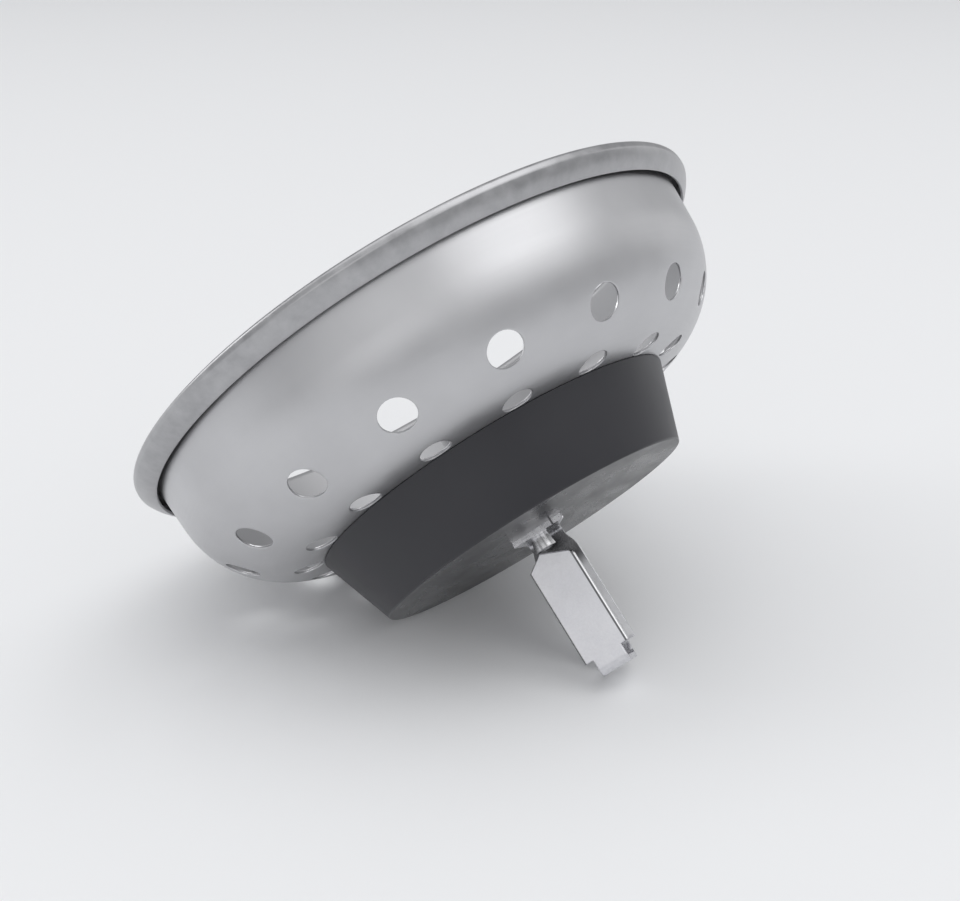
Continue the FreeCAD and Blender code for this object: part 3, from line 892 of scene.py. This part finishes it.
def basket_steel():
    """Drawn stainless sheet: marks round the axis, a mottled rim, a rougher inside with painted shade, and
    hole walls with a painted highlight.
    """
    material, tree, shader = principled(
        "basket_satin_steel", metallic=1.0, roughness=0.36, colour=grey(0.55),
    )
    place = own_place(tree)
    marks = noise_node(tree, around_axis(tree, place, turns=3.0, lines=5000.0), scale=1.0, detail=3.0)
    clouds = noise_node(tree, place, scale=90.0, detail=4.0)
    mottle = noise_node(tree, place, scale=450.0, detail=4.0, roughness=0.6)
    grain = noise_node(tree, place, scale=2600.0, detail=2.0)
    toward = facing(tree, place, CORNER_LEVEL)
    rim = zone(tree, axis_distance(tree, place), *RIM_ZONE)
    inside = zone(tree, toward, *INSIDE_ZONE)
    # sheet_face is 0 on the hole walls and other cut faces, which get a painted highlight
    sheet_face = larger(tree, zone(tree, math_node(tree, "ABSOLUTE", toward), *SHEARED_ZONE), rim)

    def over_sheet(kind, bowl, turned_rim, bowl_inside, cut_face_highlight):
        """One value for the whole sheet, from the values of its four zones."""
        bowl_outside = mix(tree, rim, bowl, turned_rim, kind)
        faces = mix(tree, inside, bowl_outside, bowl_inside, kind)
        return mix(tree, sheet_face, cut_face_highlight, faces, kind)

    roughness = over_sheet(
        "FLOAT",
        bowl=ramp(tree, weighted(tree, (marks, 0.5), (clouds, 0.5)), 0.35, 0.43),
        turned_rim=ramp(tree, mottle, 0.28, 0.4),
        bowl_inside=ramp(tree, clouds, 0.42, 0.54),
        cut_face_highlight=ramp(tree, mottle, 0.14, 0.22),
    )
    colour = over_sheet(
        "RGBA",
        bowl=ramp(tree, clouds, grey(0.52, blue=0.012), grey(0.58, blue=0.012)),
        turned_rim=ramp(tree, mottle, grey(0.37), grey(0.47)),
        # painted shade: the bowl's inside is coloured lower than its outside
        bowl_inside=ramp(tree, clouds, grey(0.4), grey(0.47)),
        # painted highlight: the hole walls are coloured paler than the sheet
        cut_face_highlight=ramp(tree, mottle, grey(0.72), grey(0.8)),
    )
    tree.links.new(roughness, shader.inputs["Roughness"])
    tree.links.new(colour, shader.inputs["Base Color"])
    add_bump(tree, shader, weighted(tree, (marks, 0.6), (grain, 0.4)), strength=0.08, distance=0.02)
    return material


def stopper_rubber():
    """Matt rubber with a fine grain, its cut lower face smoother and patchy."""
    material, tree, shader = principled(
        "stopper_rubber", metallic=0.0, roughness=0.6, colour=grey(0.024, blue=0.004),
    )
    place = own_place(tree)
    clouds = noise_node(tree, place, scale=70.0, detail=5.0)
    stretched = scaled_vector(tree, place, (210.0, 90.0, 90.0))
    patches = noise_node(tree, stretched, scale=1.0, detail=5.0, roughness=0.55)
    grain = noise_node(tree, place, scale=3000.0, detail=3.0)
    _, _, z = coordinates(tree, place)
    side = zone(tree, z, STOPPER_LEVEL + CUT_FACE_ZONE[0], STOPPER_LEVEL + CUT_FACE_ZONE[1])
    side_colour = ramp(tree, clouds, grey(0.019, blue=0.005), grey(0.025, blue=0.005))
    face_colour = ramp(tree, patches, grey(0.016, blue=0.004), grey(0.036, blue=0.005))
    side_rough = ramp(tree, clouds, 0.4, 0.5)
    face_rough = ramp(tree, patches, 0.34, 0.22)
    tree.links.new(mix(tree, side, face_colour, side_colour, "RGBA"), shader.inputs["Base Color"])
    tree.links.new(mix(tree, side, face_rough, side_rough, "FLOAT"), shader.inputs["Roughness"])
    add_bump(tree, shader, grain, strength=0.12, distance=0.03)
    return material


def turned_steel(name, roughness):
    """Turned steel with its cutting marks round the axis."""
    material, tree, shader = principled(name, metallic=1.0, roughness=roughness, colour=grey(0.58))
    place = own_place(tree)
    marks = noise_node(tree, around_axis(tree, place, turns=2.0, lines=9000.0), scale=1.0, detail=2.0)
    clouds = noise_node(tree, place, scale=140.0, detail=3.0)
    cut = ramp(tree, marks, roughness - CUT_SMOOTHER, roughness + CUT_ROUGHER)
    tree.links.new(cut, shader.inputs["Roughness"])
    tree.links.new(ramp(tree, clouds, grey(0.55), grey(0.62)), shader.inputs["Base Color"])
    add_bump(tree, shader, marks, strength=0.1, distance=0.02)
    return material


def clip_zones(tree, place, edge_highlight):
    """How pale and how dark the clip's strip is, all of it painted: a painted highlight along its right
    edge, painted light on the leg's inner face at the gap, painted shade lines along its edges and painted
    shade inside the neck; and where it faces the gap between leaf and leg.
    """
    x, _, z = coordinates(tree, place)
    depth = math_node(tree, "SUBTRACT", STOPPER_LEVEL * MM, z)
    # where the painted highlight runs along the right edge
    right_edge = edge_zone(tree, x, HIGHLIGHT_INSETS)
    right_line = math_node(tree, "SUBTRACT", edge_zone(tree, x, RIGHT_LINE_INSETS), right_edge)
    left_line = edge_zone(tree, times(tree, x, -1.0), LEFT_LINE_INSETS)
    below_plate = zone(tree, depth, *BELOW_PLATE_ZONE)
    gap = zone(tree, depth, *GAP_ZONE)
    above_fold = outside(tree, zone(tree, depth, STEP_DEPTH - FOLD_FADE, STEP_DEPTH))
    inner = zone(tree, facing(tree, place, CLIP_MIDDLE), *INNER_ZONE)
    # painted shade lines along both edges of the outer faces
    edge_lines = times(tree, larger(tree, right_line, left_line), outside(tree, inner))
    # painted shade on the inner faces below the plate, inside the neck
    neck_shade = times(tree, times(tree, below_plate, outside(tree, gap)), inner)
    # painted light on the leg's inner face where it faces the gap, above the fold; it is also rougher there
    gap_side = times(tree, times(tree, gap, above_fold), inner)
    # pale is painted light: the highlight along the right edge and the leg's inner face at the gap
    pale = larger(tree, times(tree, right_edge, edge_highlight), gap_side)
    # dark is painted shade: the edge lines and the neck's inside
    dark = larger(tree, times(tree, edge_lines, LINE_DARKNESS), times(tree, neck_shade, NECK_SHADE_DARKNESS))
    return pale, dark, gap_side


def clip_zinc(name, smooth, rough, edge_highlight):
    """Spangled zinc plate, with painted shade along its edges and inside the neck, a painted highlight
    along the right edge, and painted light on the leg's inner face at the gap.
    """
    material, tree, shader = principled(
        name, metallic=1.0, roughness=smooth, colour=grey(0.76, blue=0.02),
    )
    place = own_place(tree)
    spangle = noise_node(tree, place, scale=1500.0, detail=4.0, roughness=0.65)
    clouds = noise_node(tree, place, scale=250.0, detail=3.0)
    grain = noise_node(tree, place, scale=4200.0, detail=3.0)
    pale, dark, gap_side = clip_zones(tree, place, edge_highlight)
    shine = ramp(tree, spangle, smooth, rough)
    bloom = ramp(tree, clouds, 0.55, 0.7)
    tree.links.new(mix(tree, gap_side, shine, bloom, "FLOAT"), shader.inputs["Roughness"])
    speckle = ramp(tree, spangle, grey(0.62, blue=0.03), grey(0.8, blue=0.02), SPANGLE_SPAN)
    cloudy = ramp(tree, clouds, grey(0.68, blue=0.03), grey(0.78, blue=0.02))
    plate = mix(tree, ramp(tree, clouds, 0.4, 0.6, WHOLE_SPAN), speckle, cloudy, "RGBA")
    # painted light colour, for the highlight on the right edge and the leg's inner face
    bright = ramp(tree, clouds, grey(0.9), grey(0.95))
    # painted shade colour, for the edge lines and the neck's inside
    painted_shade_colour = ramp(tree, clouds, grey(0.04, blue=0.003), grey(0.08, blue=0.003))
    edged = mix(tree, pale, plate, bright, "RGBA")
    tree.links.new(mix(tree, dark, edged, painted_shade_colour, "RGBA"), shader.inputs["Base Color"])
    add_bump(tree, shader, weighted(tree, (grain, 0.5), (spangle, 0.5)), strength=0.32, distance=0.04)
    return material


def floor_material():
    """Pale matt floor, open from behind."""
    material, tree, shader = principled("pale_floor", metallic=0.0, roughness=0.9, colour=FLOOR_COLOUR)
    shader.inputs["Specular IOR Level"].default_value = 0.1
    geometry = tree.nodes.new("ShaderNodeNewGeometry")
    clear = tree.nodes.new("ShaderNodeBsdfTransparent")
    choose = tree.nodes.new("ShaderNodeMixShader")
    tree.links.new(geometry.outputs["Backfacing"], choose.inputs["Fac"])
    tree.links.new(shader.outputs["BSDF"], choose.inputs[1])
    tree.links.new(clear.outputs["BSDF"], choose.inputs[2])
    tree.links.new(choose.outputs["Shader"], tree.nodes["Material Output"].inputs["Surface"])
    return material


def camera_axes():
    """Right, down and forward of the camera in the part's frame, and its place in millimetres."""
    roll, pitch = CAMERA_ROLL, CAMERA_PITCH
    across = Vector((math.cos(roll), math.sin(roll), 0))
    upward = Vector((
        math.sin(roll) * math.cos(pitch),
        -math.cos(roll) * math.cos(pitch),
        math.sin(pitch),
    ))
    depth = upward.cross(across)
    turn = Matrix.Rotation(CAMERA_TURN, 3, "Z")
    to_camera = Matrix((across, depth, upward)).transposed()
    axes = [turn @ Vector(to_camera[row]) for row in range(3)]
    place = turn @ -(to_camera.transposed() @ CAMERA_OFFSET)
    place.z += CAMERA_LEVEL
    return axes, place


def add_camera(axes, place):
    """The camera, shifted so that its centre falls on its pixel of the photograph."""
    right, down, forward = axes
    data = bpy.data.cameras.new("camera")
    data.sensor_fit = "HORIZONTAL"
    data.sensor_width = SENSOR
    data.lens = FOCAL_PIXELS / IMAGE_WIDTH * SENSOR
    data.shift_x = (IMAGE_WIDTH / 2 - CENTRE_PIXEL[0]) / IMAGE_WIDTH
    data.shift_y = (CENTRE_PIXEL[1] - IMAGE_HEIGHT / 2) / IMAGE_WIDTH
    data.clip_start = CAMERA_NEAR
    data.clip_end = CAMERA_FAR
    camera = bpy.data.objects.new("camera", data)
    bpy.context.scene.collection.objects.link(camera)
    turn = Matrix((right, -down, -forward)).transposed().to_4x4()
    camera.matrix_world = Matrix.Translation(place * MM) @ turn
    bpy.context.scene.camera = camera


def standing(point, up):
    """The place of an object at a point, with its Z axis along up."""
    return Matrix.Translation(point) @ up.to_track_quat("Z", "Y").to_matrix().to_4x4()


def add_floor(up, touch):
    """A large plane through a point, square to up."""
    mesh_data = bmesh.new()
    bmesh.ops.create_grid(mesh_data, x_segments=1, y_segments=1, size=FLOOR_REACH)
    mesh = bpy.data.meshes.new("floor")
    mesh_data.to_mesh(mesh)
    mesh_data.free()
    floor = bpy.data.objects.new("floor", mesh)
    bpy.context.scene.collection.objects.link(floor)
    floor.matrix_world = standing(touch, up)
    mesh.materials.append(floor_material())


def add_light(box, right, back, up):
    """A soft box turned to the object, in the floor's directions right, back and up."""
    height = math.radians(box.height)
    turn = math.radians(box.turn)
    level = right * math.sin(turn) + back * math.cos(turn)
    way = up * math.sin(height) + level * math.cos(height)
    data = bpy.data.lights.new(box.name, "AREA")
    data.shape = "RECTANGLE"
    data.size, data.size_y = box.size
    data.energy = box.brightness * math.pi * box.size[0] * box.size[1]
    light = bpy.data.objects.new(box.name, data)
    light.visible_camera = False
    bpy.context.scene.collection.objects.link(light)
    light.matrix_world = standing(MIDDLE + way * box.distance, way)


def add_world():
    """An even, slightly cool light from all sides."""
    world = bpy.data.worlds.new("studio")
    world.use_nodes = True
    background = world.node_tree.nodes["Background"]
    background.inputs["Color"].default_value = (*WORLD_COLOUR, 1.0)
    background.inputs["Strength"].default_value = WORLD_STRENGTH
    bpy.context.scene.world = world


post_steel = turned_steel("post_turned_steel", roughness=0.17)
knob_steel = turned_steel("knob_turned_steel", roughness=0.2)
# edge_highlight sets how strong the painted highlight along the right edge is
clip_plate = clip_zinc("clip_zinc_plate", smooth=0.2, rough=0.34, edge_highlight=0.2)
leaf_plate = clip_zinc("leaf_zinc_plate", smooth=0.32, rough=0.46, edge_highlight=1.0)
new_piece("strainer_basket", build_basket(), "strainer", "basket", basket_steel())
new_piece("rubber_stopper", build_stopper(), "strainer", "stopper", stopper_rubber())
new_piece("pull_post", build_post(), "strainer", "post", post_steel)
new_piece("pull_knob", build_knob(), "strainer", "knob", knob_steel)
new_piece("spring_clip", build_clip(), "strainer", "clip", clip_plate)
new_piece("spring_leaf", build_leaf(), "leaf", "clip_leaf", leaf_plate)

camera_directions, camera_place = camera_axes()
add_camera(camera_directions, camera_place)
camera_right, camera_down, camera_forward = camera_directions
floor_up = -camera_down * math.cos(FLOOR_SLOPE) - camera_forward * math.sin(FLOOR_SLOPE)
floor_back = camera_forward * math.cos(FLOOR_SLOPE) - camera_down * math.sin(FLOOR_SLOPE)
floor_up.normalize()
floor_back.normalize()
clip_corners = [
    Vector((x, y, CLIP_BOTTOM)) * MM
    for x in (-TONGUE_HALF, TONGUE_HALF)
    for y in (-LEAF_FRONT, LEG_BACK)
]
add_floor(floor_up, min(clip_corners, key=floor_up.dot))
for soft_box in SOFT_BOXES:
    add_light(soft_box, camera_right, floor_back, floor_up)
add_world()
bpy.context.scene.view_settings.view_transform = "Standard"
